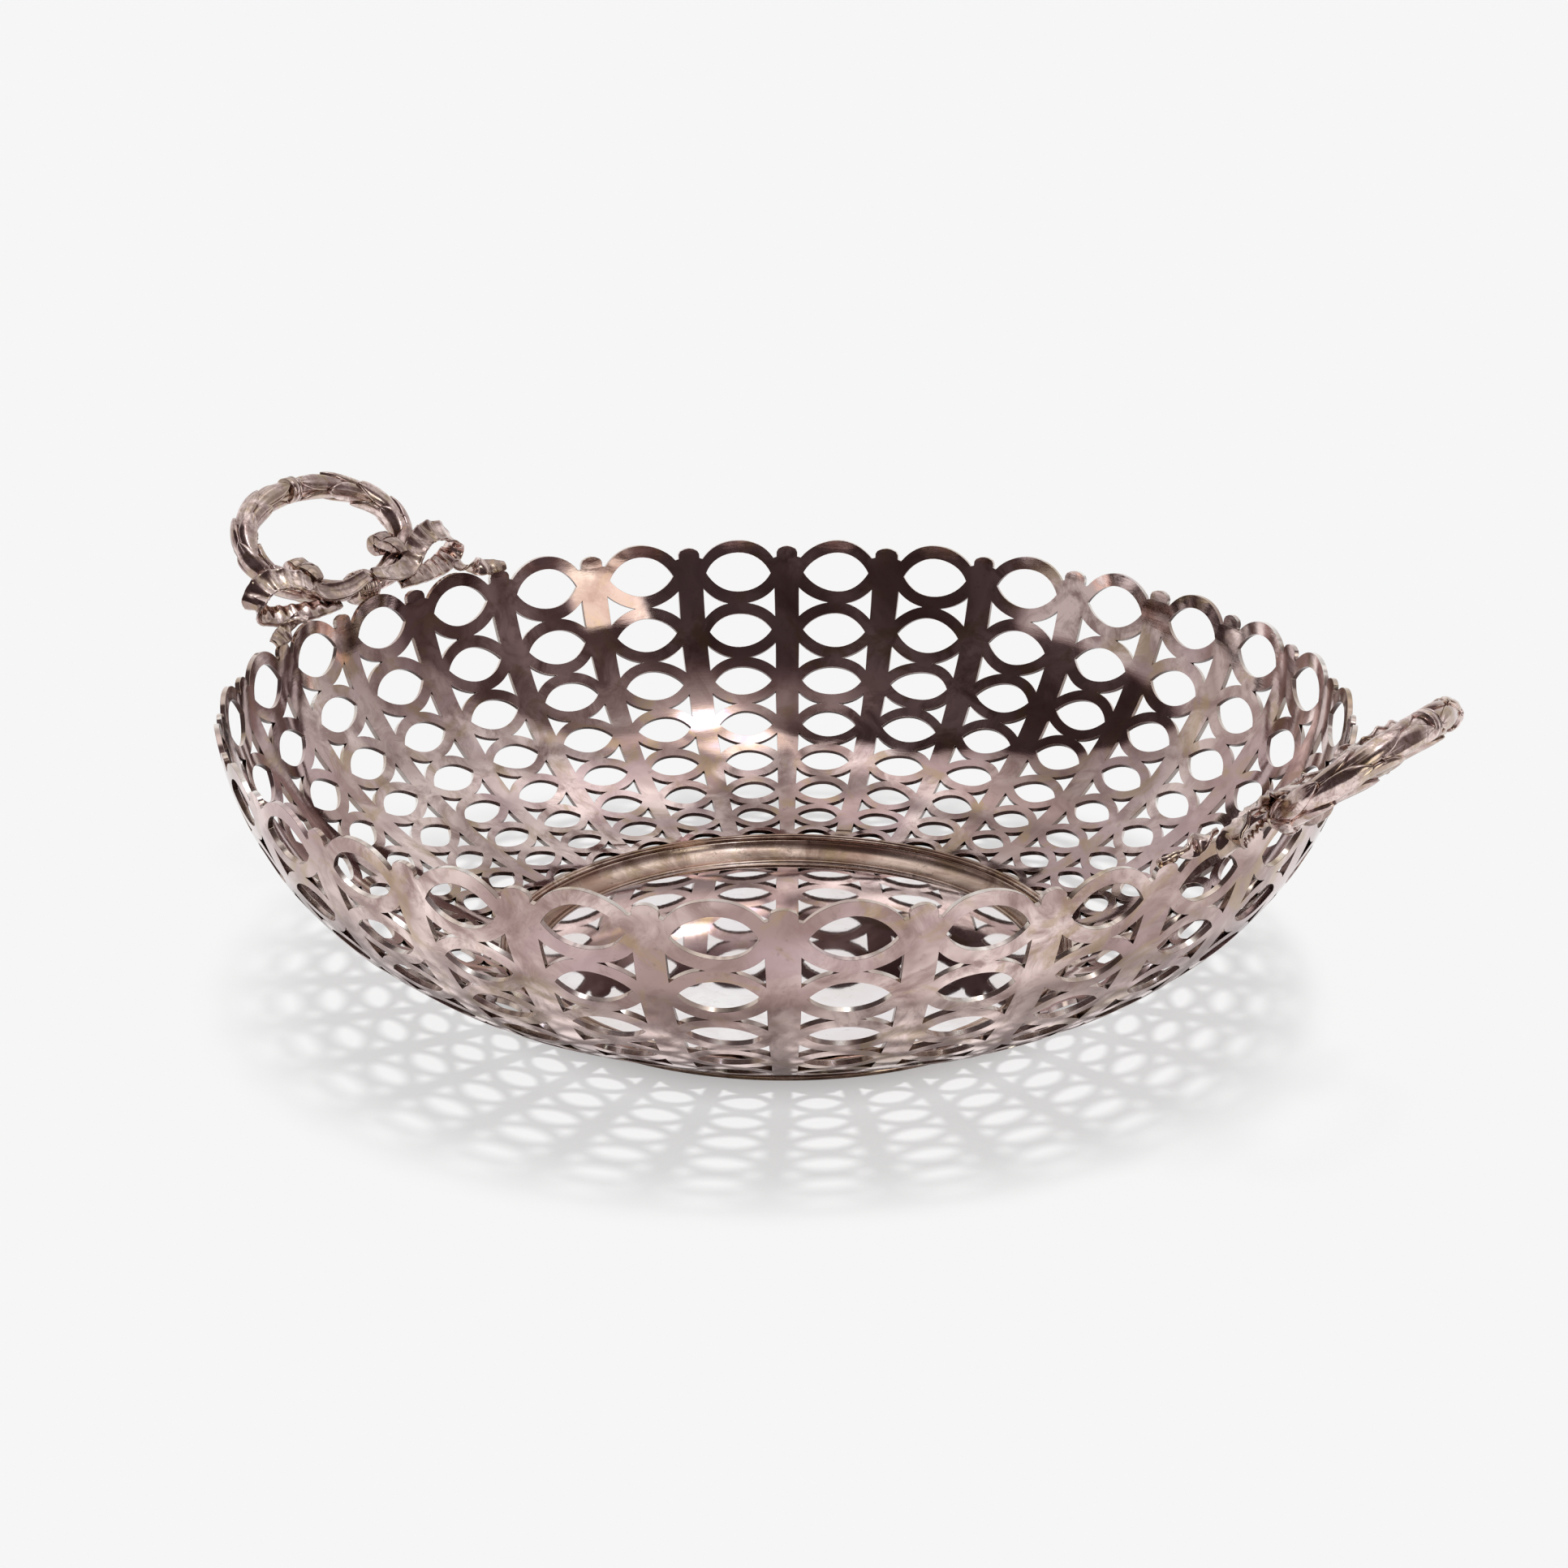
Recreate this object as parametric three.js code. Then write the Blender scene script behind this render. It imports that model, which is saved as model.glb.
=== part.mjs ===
// A round two-handled basket of pierced silver sheet. Upright bars run down the bowl, and a column
// of pointed rings stands between each two of them. The bowl ends on a collar round a plain dish,
// over a flat foot ring. Each handle is a laurel wreath tied to the rim with a fluted ribbon bow.
// Millimetres, +Z up, the foot on z = 0 and the handles along X.

import * as THREE from 'three';

const degrees = Math.PI / 180;

// Gaps
const seatGap = 0.3; // between pieces that are soldered together

// Bowl wall
const rimRadius = 130; // over the tips of the bars
const wallReach = 79.5; // half-axis of the wall's curve, outward
const wallDepth = 71.9; // half-axis of the wall's curve, downward
const rimLean = 7.2 * degrees; // from the widest point of that curve down to the tips
const sheet = 1.2;

// Piercing
const barCount = 30;
const barShare = 0.235; // width of a bar, of the distance between bars
const rowCount = 8; // the last row is cut through its middle by the lower edge
const firstRow = 16.5; // height of the top row, measured down the wall
const rowShrink = 0.913; // each row to the one above it
const archRise = 1; // the arches stand this far above the tips of the bars
const openingWidth = 0.655; // of the distance between bars
const openingHeight = 0.61; // of the row
const cornerSpan = 0.21; // half the height of a three-cornered cut, of the row
const cornerReach = 0.1; // how near a three-cornered cut comes to the middle of its column
const cornerRows = 5; // joints between rows that have three-cornered cuts
const tipShoulder = 0.36; // half the width of a bar's pointed head at its shoulders, of the bar
const tipShoulderDrop = 1.5;

// Base
const footHeight = 1.2;
const footWidth = 3;
const dishSheet = 1.2;
const wellDepth = 4.6; // from the crest of the collar down to the floor
const wellFlare = 1; // how far the side of the well leans out
const crestWidth = 2;
const crestAboveWall = 0.6;
const reedRise = 0.5;
const ledgeReach = 2.6; // how far the collar's ledge runs out under the wall
const ledgeThickness = 1;
const ledgeGap = 1.4 * seatGap; // the facets of the wall dip towards the ledge
const turns = 40; // facets round the base pieces

// Wreath handles
const wreathTilt = 42.4 * degrees;
const wreathHalfWidth = 25.6; // along the rim, to the middle of the tube
const wreathHalfLength = 16.1;
const wreathOut = 4.2; // middle of the tube outside the tips of the bars
const wreathUp = 3.1; // and above them
const leafRadius = 3.4; // at the tips of the leaves
const leafRootRadius = 2.65;
const leafTip = 1.3; // the points of the leaves run this far to and fro
const leafWhorls = 6;
const leafSides = 8;
const bandLength = 3;
const knotLength = 7;

// Ribbon
const ribbonWidth = 4.6;
const ribbonSheet = 0.9;
const fluteDepth = 0.4;
const loopShare = 1.24; // from the tie to the far end of a loop, of the distance between bars
const loopOut = 10; // outside the tips of the bars
const loopRise = 10.4; // and above them
const curlWidth = 3.4;
const curlRadius = 2.5; // of the roll at its end
const curlAlong = 15.1; // along the rim
const curlAway = 9.9; // middle of the roll, away from the rim
const tailStartShare = 1.04;
const tailEndShare = 1.59; // just past the second bar
const tailOut = 0.3;
const tailRise = 3.6;

const silver = (tone) => new THREE.MeshStandardMaterial({ color: tone, roughness: 0.34, metalness: 0.9 });
const mesh = (name, geometry, tone) => {
  const piece = new THREE.Mesh(geometry, silver(tone));
  piece.name = name;
  return piece;
};

// The wall's curve in plan radius and height, from its widest point to its lowest. Heights are
// taken from the tips of the bars until the base is known.
const curveRadius = rimRadius - wallReach * Math.cos(rimLean);
const curveHeight = wallDepth * Math.sin(rimLean);
const curveTo = (end) =>
  new THREE.EllipseCurve(curveRadius, curveHeight, wallReach, wallDepth, 0, -end, true);
const wallCurve = curveTo(Math.PI / 2);
wallCurve.arcLengthDivisions = 600;
const aboveTips = curveTo(rimLean).getLength();

// A point of the wall's section: down the curve from the tips, and inward from the outer face.
function wallSection(down, inset) {
  const along = (aboveTips + down) / wallCurve.getLength();
  const spot = wallCurve.getPointAt(along);
  const run = wallCurve.getTangentAt(along);
  return new THREE.Vector2(spot.x + inset * run.y, spot.y - inset * run.x);
}

const rowTop = (row) => -archRise + (firstRow * (1 - rowShrink ** row)) / (1 - rowShrink);
const rowHeight = (row) => firstRow * rowShrink ** row;
const rowMiddle = (row) => rowTop(row) + rowHeight(row) / 2;
const wallEnd = rowMiddle(rowCount - 1);
const pitchAt = (down) => (2 * Math.PI * wallSection(down, 0).x) / barCount;

// Heights of the base above the table, and with them the height of the tips.
const dishUnderside = footHeight + seatGap;
const floorHeight = dishUnderside + dishSheet;
const crestHeight = floorHeight + wellDepth;
const tipHeight = crestHeight - crestAboveWall - wallSection(wallEnd, sheet).y;

// One arc of a pointed opening, from its left point to its right one, bulging up or down. The
// first coordinate counts columns and the second runs down the wall.
function openingArc(row, way) {
  const steps = row === 0 ? 4 : row < 3 ? 3 : 2;
  const halfWidth = (openingWidth / 2) * pitchAt(rowMiddle(row));
  const halfHeight = (openingHeight / 2) * rowHeight(row);
  const arcRadius = (halfWidth ** 2 + halfHeight ** 2) / (2 * halfHeight);
  const sweep = Math.asin(halfWidth / arcRadius);
  const points = [];
  for (let i = 0; i <= steps; i++) {
    const turn = sweep * ((2 * i) / steps - 1);
    const bulge = arcRadius * Math.cos(turn) - (arcRadius - halfHeight);
    const across = (arcRadius * Math.sin(turn)) / pitchAt(rowMiddle(row));
    points.push([across, rowMiddle(row) + way * Math.max(bulge, 0)]);
  }
  return points;
}

// The arch over the top opening, as far as the notches beside the heads of the bars.
function rimArch() {
  const pitch = pitchAt(rowMiddle(0));
  const halfWidth = (openingWidth / 2) * pitch;
  const halfHeight = (openingHeight / 2) * rowHeight(0);
  const innerRadius = (halfWidth ** 2 + halfHeight ** 2) / (2 * halfHeight);
  const centre = rowMiddle(0) + innerRadius - halfHeight;
  const archRadius = centre + archRise;
  const notch = (0.5 - barShare / 2 - 0.01) * pitch;
  const sweep = Math.asin(notch / archRadius);
  return [-1, -0.5, 0, 0.5, 1].map((share) => {
    const turn = share * sweep;
    return [(archRadius * Math.sin(turn)) / pitch, centre - archRadius * Math.cos(turn)];
  });
}

// The three corners of the cut beside the joint under a row, on the right of the column.
function cornerCut(row) {
  const joint = rowTop(row + 1);
  const edge = 0.5 - barShare / 2;
  return [
    [edge, joint - cornerSpan * rowHeight(row)],
    [cornerReach, joint],
    [edge, joint + cornerSpan * rowHeight(row + 1)],
  ];
}

const toLeft = (points) => points.map(([across, down]) => [-across, down]);
const nextColumn = (points) => points.map(([across, down]) => [across + 1, down]);

// The sheet between the openings, as flat outlines for one column and the bar to its right.
function columnOutlines() {
  const outlines = [];
  const arch = rimArch();
  const top = openingArc(0, -1);
  outlines.push([...arch, ...[...top].reverse()]);
  const shoulder = tipShoulder * barShare;
  outlines.push([
    top.at(-1),
    arch.at(-1),
    [0.5 - shoulder, tipShoulderDrop],
    [0.5, 0],
    [0.5 + shoulder, tipShoulderDrop],
    ...nextColumn([arch[0], top[0]]),
  ]);
  for (let row = 0; row < rowCount - 1; row++) {
    const upper = openingArc(row, 1);
    const lower = openingArc(row + 1, -1);
    const cut = row < cornerRows ? cornerCut(row) : [];
    const leftCut = toLeft(cut).reverse();
    outlines.push([...upper, ...cut, ...[...lower].reverse(), ...leftCut]);
    const side = [upper.at(-1), ...(cut.length ? [cut[0], cut[2]] : []), lower.at(-1)];
    outlines.push([...side, ...nextColumn(toLeft(side)).reverse()]);
  }
  return outlines;
}

// Bends the flat outlines round the bowl, lays a second skin inside the first, and closes every
// cut edge between the two.
function piercedWall() {
  const skin = new Map();
  const outer = [];
  const inner = [];
  const corner = ([across, down]) => {
    const round = (across + barCount) % barCount;
    const key = `${round.toFixed(5)} ${down.toFixed(5)}`;
    if (!skin.has(key)) {
      skin.set(key, skin.size);
      const angle = (round / barCount) * 2 * Math.PI;
      for (const [face, inset] of [[outer, 0], [inner, sheet]]) {
        const section = wallSection(down, inset);
        face.push(section.x * Math.cos(angle), section.x * Math.sin(angle), section.y + tipHeight);
      }
    }
    return skin.get(key);
  };
  const triangles = [];
  for (const outline of columnOutlines()) {
    const flat = outline.map(([across, down]) => new THREE.Vector2(across * firstRow, -down));
    for (const face of THREE.ShapeUtils.triangulateShape(flat, [])) {
      const points = face.map((i) => outline[i]);
      if (THREE.ShapeUtils.isClockWise(face.map((i) => flat[i]))) points.reverse();
      for (let column = 0; column < barCount; column++) {
        triangles.push(points.map(([across, down]) => corner([across + column, down])));
      }
    }
  }
  const count = skin.size;
  const edges = new Set();
  for (const [a, b, c] of triangles) {
    edges.add(`${a} ${b}`).add(`${b} ${c}`).add(`${c} ${a}`);
  }
  const faces = [];
  for (const [a, b, c] of triangles) {
    faces.push(a, b, c, a + count, c + count, b + count);
    for (const [p, q] of [[a, b], [b, c], [c, a]]) {
      if (!edges.has(`${q} ${p}`)) {
        faces.push(p, p + count, q, q, p + count, q + count);
      }
    }
  }
  const geometry = new THREE.BufferGeometry();
  geometry.setAttribute('position', new THREE.Float32BufferAttribute([...outer, ...inner], 3));
  geometry.setIndex(faces);
  geometry.computeVertexNormals();
  return geometry;
}

// A closed profile of radius and height, turned round Z.
function turned(profile) {
  const loop = [...profile, profile[0]].map(([radius, height]) => new THREE.Vector2(radius, height));
  const geometry = new THREE.LatheGeometry(loop, turns);
  return geometry.rotateX(Math.PI / 2);
}

const wallFoot = wallSection(wallEnd, sheet);
const crestOuter = wallFoot.x - seatGap;
const crestInner = crestOuter - crestWidth;
const crestLine = crestHeight - 2 * reedRise - 0.8;
const sideTop = crestLine - seatGap;

// The plain dish that fills the middle: a flat floor and a side that leans out to the collar.
function dishProfile() {
  const sideInner = crestInner - 0.1;
  const floorRadius = sideInner - wellFlare;
  return [
    [0, dishUnderside],
    [floorRadius + dishSheet, dishUnderside],
    [sideInner + dishSheet * 0.8, sideTop],
    [sideInner, sideTop],
    [floorRadius + 0.3 * wellFlare, floorHeight + 0.35 * (sideTop - floorHeight)],
    [floorRadius - 0.5, floorHeight],
    [0, floorHeight],
  ];
}

// Two fine reeds over the edge of the dish, and a ledge that runs out under the wall.
function collarProfile() {
  const dishOuter = crestInner - 0.1 + dishSheet * 0.8;
  const ledgeStart = wallSection(wallEnd, -ledgeGap);
  const ledgeEnd = wallSection(wallEnd - ledgeReach, -ledgeGap);
  const ledge = ledgeStart.y + tipHeight;
  return [
    [crestInner, crestLine],
    [dishOuter + seatGap, crestLine],
    [dishOuter + seatGap, ledge - ledgeThickness],
    [ledgeEnd.x, ledgeEnd.y + tipHeight - ledgeThickness],
    [ledgeEnd.x, ledgeEnd.y + tipHeight],
    [crestOuter, ledge],
    [crestOuter, crestHeight - reedRise],
    [crestOuter - 0.25 * crestWidth, crestHeight],
    [crestOuter - 0.55 * crestWidth, crestHeight - reedRise],
    [crestOuter - 0.8 * crestWidth, crestHeight - reedRise],
    [crestInner, crestHeight - 2 * reedRise],
  ];
}

function footProfile() {
  const outerRadius = crestInner - wellFlare + 0.6;
  return [
    [outerRadius - footWidth, 0],
    [outerRadius - 0.3, 0],
    [outerRadius, 0.3],
    [outerRadius, footHeight],
    [outerRadius - footWidth, footHeight],
  ];
}

// Joins rings of points, all with as many points and turning the same way, into one closed skin.
function loft(rings) {
  const sides = rings[0].length;
  const positions = rings.flat().flatMap((point) => point.toArray());
  const faces = [];
  for (let ring = 0; ring + 1 < rings.length; ring++) {
    for (let i = 0; i < sides; i++) {
      const a = ring * sides + i;
      const b = ring * sides + ((i + 1) % sides);
      faces.push(a, b, b + sides, a, b + sides, a + sides);
    }
  }
  const last = (rings.length - 1) * sides;
  for (let i = 1; i + 1 < sides; i++) {
    faces.push(0, i + 1, i, last, last + i, last + i + 1);
  }
  const geometry = new THREE.BufferGeometry();
  geometry.setAttribute('position', new THREE.Float32BufferAttribute(positions, 3));
  geometry.setIndex(faces);
  geometry.computeVertexNormals();
  return geometry;
}

// One half of the wreath, in the wreath's own frame: X away from the rim, Y along the rim, and the
// tie at the origin. Each whorl of leaves widens to a ring of points and steps in again under them.
function laurelBranch(side) {
  const tieEnd = Math.asin((knotLength / 2 + 2 * seatGap) / wreathHalfWidth);
  const bandEnd = Math.asin((bandLength / 2 + 1.6 * seatGap) / wreathHalfWidth);
  const path = new THREE.EllipseCurve(
    wreathHalfLength, 0, wreathHalfLength, wreathHalfWidth, Math.PI - tieEnd, bandEnd, true);
  const length = path.getLength();
  const upward = new THREE.Vector3(0, 0, 1);
  const leafRing = (along, radius, zigzag) => {
    const ring = [];
    for (let i = 0; i < leafSides; i++) {
      const shift = zigzag * (i % 2 ? -leafTip : leafTip);
      const share = THREE.MathUtils.clamp((along + shift) / length, 0, 1);
      const spot = path.getPointAt(share);
      const run = path.getTangentAt(share);
      const turn = (2 * Math.PI * i) / leafSides;
      const point = new THREE.Vector3(spot.x, side * spot.y, 0);
      point.addScaledVector(new THREE.Vector3(run.y, -side * run.x, 0), radius * Math.cos(turn));
      point.addScaledVector(upward, radius * Math.sin(turn));
      ring.push(point);
    }
    return side > 0 ? ring.reverse() : ring;
  };
  const rings = [];
  for (let whorl = 0; whorl < leafWhorls; whorl++) {
    const way = whorl % 2 ? 1 : -1;
    const first = whorl === 0;
    const last = whorl === leafWhorls - 1;
    rings.push(leafRing((whorl * length) / leafWhorls, leafRootRadius, first ? 0 : way));
    rings.push(leafRing(((whorl + 1) * length) / leafWhorls, leafRadius, last ? 0 : -way));
  }
  return loft(rings);
}

// A short drum lying along the rim, with its middle at a point of the wreath's plane.
function drum(radius, length, away) {
  const geometry = new THREE.CylinderGeometry(radius, radius, length, 12);
  return geometry.translate(away, 0, 0);
}

// A fluted ribbon along a curve through the given points, with its width lying across the rim
// unless another direction is given.
function ribbon(points, side, flutes, width = ribbonWidth, across = new THREE.Vector3(1, 0, 0)) {
  const path = new THREE.CatmullRomCurve3(points.map(([x, y, z]) => new THREE.Vector3(x, side * y, z)));
  const steps = flutes * 4;
  const rings = [];
  for (let i = 0; i <= steps; i++) {
    const share = i / steps;
    const face = new THREE.Vector3().crossVectors(path.getTangentAt(share), across).normalize();
    const middle = path.getPointAt(share);
    middle.addScaledVector(face, -side * fluteDepth * Math.sin(2 * Math.PI * flutes * share));
    const halfWidth = (width / 2) * (0.5 + 0.5 * Math.sin(Math.PI * share));
    const corner = (x, z) =>
      middle.clone().addScaledVector(across, x * halfWidth).addScaledVector(face, (z * ribbonSheet) / 2);
    rings.push([corner(-1, -1), corner(1, -1), corner(1, 1), corner(-1, 1)]);
  }
  return loft(rings);
}

// A spot beside the rim, in the wreath's frame. It is given as spaces between bars round from the
// tie, then the distance outside the tips of the bars and the height above them.
function rimSpot(spaces, out, up) {
  const angle = (2 * Math.PI * spaces) / barCount;
  const away = (rimRadius + out) * Math.cos(angle) - rimRadius - wreathOut;
  const rise = up - wreathUp;
  return [
    away * Math.cos(wreathTilt) + rise * Math.sin(wreathTilt),
    (rimRadius + out) * Math.sin(angle),
    rise * Math.cos(wreathTilt) - away * Math.sin(wreathTilt),
  ];
}

// The bow's routes on the +Y side of the tie, in the wreath's frame.
const archGap = Math.hypot(wreathOut, wreathUp - archRise);
const knotRadius = archGap - seatGap;
const onKnot = knotRadius + seatGap + ribbonSheet / 2;
const loopRoute = [
  [0, ribbonSheet, onKnot],
  rimSpot(0.27 * loopShare, 0.06 * loopOut, 0.64 * loopRise),
  rimSpot(0.52 * loopShare, 0.27 * loopOut, 0.66 * loopRise),
  rimSpot(0.72 * loopShare, 0.53 * loopOut, 0.92 * loopRise),
  rimSpot(0.87 * loopShare, 0.84 * loopOut, loopRise),
  rimSpot(0.98 * loopShare, loopOut, 0.76 * loopRise),
  rimSpot(loopShare, 0.98 * loopOut, 0.42 * loopRise),
  rimSpot(0.83 * loopShare, 0.62 * loopOut, 0.17 * loopRise),
  rimSpot(0.63 * loopShare, 0.24 * loopOut, 0.19 * loopRise),
  rimSpot(0.41 * loopShare, 0.08 * loopOut, 0.22 * loopRise),
  [-0.75 * knotRadius, knotLength / 2 + 2.4 * seatGap, 0.7 * knotRadius],
];
const overTube = leafRadius + 2 * seatGap + ribbonSheet / 2;
const curlSpot = (away, up) => [curlAway + away * curlRadius, curlAlong, up * curlRadius];
const curlRoute = [
  [curlAway - 2.6 * curlRadius, curlAlong, overTube],
  [curlAway - 1.4 * curlRadius, curlAlong, 0.95 * overTube],
  curlSpot(-0.3, 1.1),
  curlSpot(0.6, 0.7),
  curlSpot(0.9, -0.1),
  curlSpot(0.4, -0.9),
  curlSpot(-0.4, -0.9),
  curlSpot(-0.8, -0.3),
];
const tailSpot = (share, out, up) =>
  rimSpot(tailStartShare + share * (tailEndShare - tailStartShare), out * tailOut, up * tailRise);
const tailRoute = [
  tailSpot(0, 1, 1),
  tailSpot(0.4, -0.5, 0.73),
  tailSpot(0.7, -0.3, 0.66),
  tailSpot(1, -1, 0.5),
];

function handle(name) {
  const wreath = new THREE.Group();
  wreath.position.set(rimRadius + wreathOut, 0, tipHeight + wreathUp);
  wreath.rotation.y = -wreathTilt;
  wreath.add(mesh(`${name}_knot`, drum(knotRadius, knotLength, 0), 0x9a8478));
  wreath.add(mesh(`${name}_apex_band`, drum(leafRadius + 0.2, bandLength, 2 * wreathHalfLength), 0xa8968c));
  for (const [hand, side] of [['a', 1], ['b', -1]]) {
    const along = new THREE.Vector3(0, side, 0);
    wreath.add(mesh(`${name}_laurel_${hand}`, laurelBranch(side), 0xb3a099));
    wreath.add(mesh(`${name}_bow_loop_${hand}`, ribbon(loopRoute, side, 6), 0x9f8b82));
    wreath.add(mesh(`${name}_bow_curl_${hand}`, ribbon(curlRoute, side, 3, curlWidth, along), 0xa9958c));
    wreath.add(mesh(`${name}_ribbon_tail_${hand}`, ribbon(tailRoute, side, 2), 0x9f8b82));
  }
  return wreath;
}

const basket = new THREE.Group();
basket.add(mesh('pierced_wall', piercedWall(), 0xc0aca4));
basket.add(mesh('dish', turned(dishProfile()), 0xb5a69c));
basket.add(mesh('reeded_collar', turned(collarProfile()), 0xb08f7a));
basket.add(mesh('foot_ring', turned(footProfile()), 0xa39186));
basket.add(handle('right'));
const leftSide = new THREE.Group();
leftSide.rotation.z = Math.PI;
leftSide.add(handle('left'));
basket.add(leftSide);

export default basket;
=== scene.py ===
# A round basket of pierced silver with two laurel wreath handles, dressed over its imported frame.
import math

import bpy
import numpy as np
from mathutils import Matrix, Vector


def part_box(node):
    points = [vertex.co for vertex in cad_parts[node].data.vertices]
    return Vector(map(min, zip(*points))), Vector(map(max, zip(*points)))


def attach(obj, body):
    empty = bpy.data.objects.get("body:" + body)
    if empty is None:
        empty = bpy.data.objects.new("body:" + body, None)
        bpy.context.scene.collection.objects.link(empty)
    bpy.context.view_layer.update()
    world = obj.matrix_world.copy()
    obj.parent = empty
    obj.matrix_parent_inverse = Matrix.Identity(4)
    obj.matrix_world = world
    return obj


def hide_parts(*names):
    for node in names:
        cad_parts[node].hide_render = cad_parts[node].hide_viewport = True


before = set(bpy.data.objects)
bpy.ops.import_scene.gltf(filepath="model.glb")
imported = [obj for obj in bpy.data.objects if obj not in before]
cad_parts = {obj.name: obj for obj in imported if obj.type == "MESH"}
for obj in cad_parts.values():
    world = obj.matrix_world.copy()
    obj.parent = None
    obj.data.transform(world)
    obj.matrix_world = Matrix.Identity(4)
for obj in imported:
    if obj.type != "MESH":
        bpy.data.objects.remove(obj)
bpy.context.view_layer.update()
print("frame loaded,", len(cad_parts), "pieces")

mm = 0.001
sheetGap = 0.3  # between soldered pieces, as in the frame


def step(value, start, width):
    # Nought up to the start, then straight up to one over the width.
    return np.clip((value - start) / width, 0, 1)


def summed(steps):
    # Nought, and the sum of the steps up to each.
    return np.concatenate([[0], np.cumsum(steps)])


def runOf(pace, turn):
    # The distance along a curve, by the mean of its pace over each step of the angle.
    return summed((pace[1:] + pace[:-1]) / 2 * np.diff(turn))


def evenTurns(steps):
    # Angles of equal steps once round.
    return 2 * math.pi * np.arange(steps) / steps


def placed(name, data):
    # A new object in the scene.
    made = bpy.data.objects.new(name, data)
    bpy.context.scene.collection.objects.link(made)
    return made


def newMaterial(name):
    # A material of nodes, and the tree that holds them.
    made = bpy.data.materials.new(name)
    made.use_nodes = True
    return made, made.node_tree


# Bowl wall

bowl = {
    "rimRadius": 130.0,  # over the tips of the bars
    "reach": 79.5,  # half-axes of the wall's curve
    "depth": 71.9,
    "lean": math.radians(7.2),  # from the curve's widest point down to the tips
    "sheet": 1.2,
    "bars": 30,
    "rows": 8,  # the last one is cut through its middle
    "firstRow": 16.5,
    "rowShrink": 0.913,
    "archRise": 1.0,
    "barShare": 0.262,  # of the distance between bars, as the next two widths are
    "openingWidth": 0.655,
    "neck": 0.095,  # half the width of the joint between two rings
    "openingHeight": 0.61,  # of a row's height
    "topOpening": 0.5,  # how much higher the first row's openings reach than the others
    "topRise": 0.7,
    "notch": 0.01,  # how far a top ring's foot stands off the bar, of the distance between bars
    "headReach": (0.41, 0.41, 0.34, 0.17, 0.03),  # outline of a bar's head, of the bar's width
    "headDrop": (2.8, 1.6, 0.75, 0.18, 0.0),  # and below its tip
    "ringSteps": 8,
    "neckSteps": 2,
    "bandSteps": 2,
    "barSteps": 2,
    "jointSteps": 2,
    "sawWobble": 0.22,  # how unevenly the openings were sawn
    "sawWaves": (9, 44, 0.3),  # fewest and most waves round the bowl, and how steeply they lie
    "hammerWobble": 0.1,  # how uneven the sheet is
    "hammerWaves": (5, 26, 0.16),
    "waveCount": 10,
    "seeds": (11, 12, 13),
    "calmFeet": 4.0,  # both wobbles fade out over this length above the feet
    "calmTips": 3.0,  # and the openings' ups and downs over this one below the tips
    "edgeRound": 0.14,  # width of the facet on every edge sharper than this angle
    "edgeAngle": math.radians(35),
    "sectionSteps": 4001,
}
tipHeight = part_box("pierced_wall")[1].z / mm - bowl["archRise"]


def wallSection(down, inset):
    # The section is a quarter of an ellipse, entered by its length down from the tips and moved
    # inward along its normal. It gives the radius and the height over the table.
    turn = np.linspace(0, math.pi / 2, bowl["sectionSteps"])
    runX, runY = -bowl["reach"] * np.sin(turn), -bowl["depth"] * np.cos(turn)
    length = runOf(np.hypot(runX, runY), turn)
    at = np.interp(np.interp(bowl["lean"], turn, length) + down, length, turn)
    runX, runY = -bowl["reach"] * np.sin(at), -bowl["depth"] * np.cos(at)
    pace = np.hypot(runX, runY)
    radius = bowl["rimRadius"] + bowl["reach"] * (np.cos(at) - math.cos(bowl["lean"]))
    height = tipHeight + bowl["depth"] * (math.sin(bowl["lean"]) - np.sin(at))
    return radius + inset * runY / pace, height - inset * runX / pace


def rowHeight(row):
    # Each row is the same share lower than the one above it.
    return bowl["firstRow"] * bowl["rowShrink"] ** row


def rowMiddle(row):
    # The sum of the rows above, less the rise of the arches, and half of the row itself.
    above = bowl["firstRow"] * (1 - bowl["rowShrink"] ** row) / (1 - bowl["rowShrink"])
    return above - bowl["archRise"] + rowHeight(row) / 2


def pitchAt(down):
    # The distance between bars is the way round the bowl over their number.
    return 2 * math.pi * float(wallSection(down, 0)[0]) / bowl["bars"]


wallEnd = rowMiddle(bowl["rows"] - 1)


def spread(first, second, steps):
    # Straight mixes from one line of points to another, as a grid.
    share = np.linspace(0, 1, steps + 1)[:, None, None]
    return first * (1 - share) + second * share


def almondArc(halfWidth, rise, reach):
    # Points on the circle through the ends of a chord and so far above its middle, from the
    # middle outwards. The radius is (half chord squared plus rise squared) over twice the rise.
    radius = (halfWidth ** 2 + rise ** 2) / (2 * rise)
    turn = np.linspace(0, math.asin(reach / radius), bowl["ringSteps"] + 1)
    return np.column_stack([radius * np.sin(turn), radius * np.cos(turn) - radius + rise])


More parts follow.
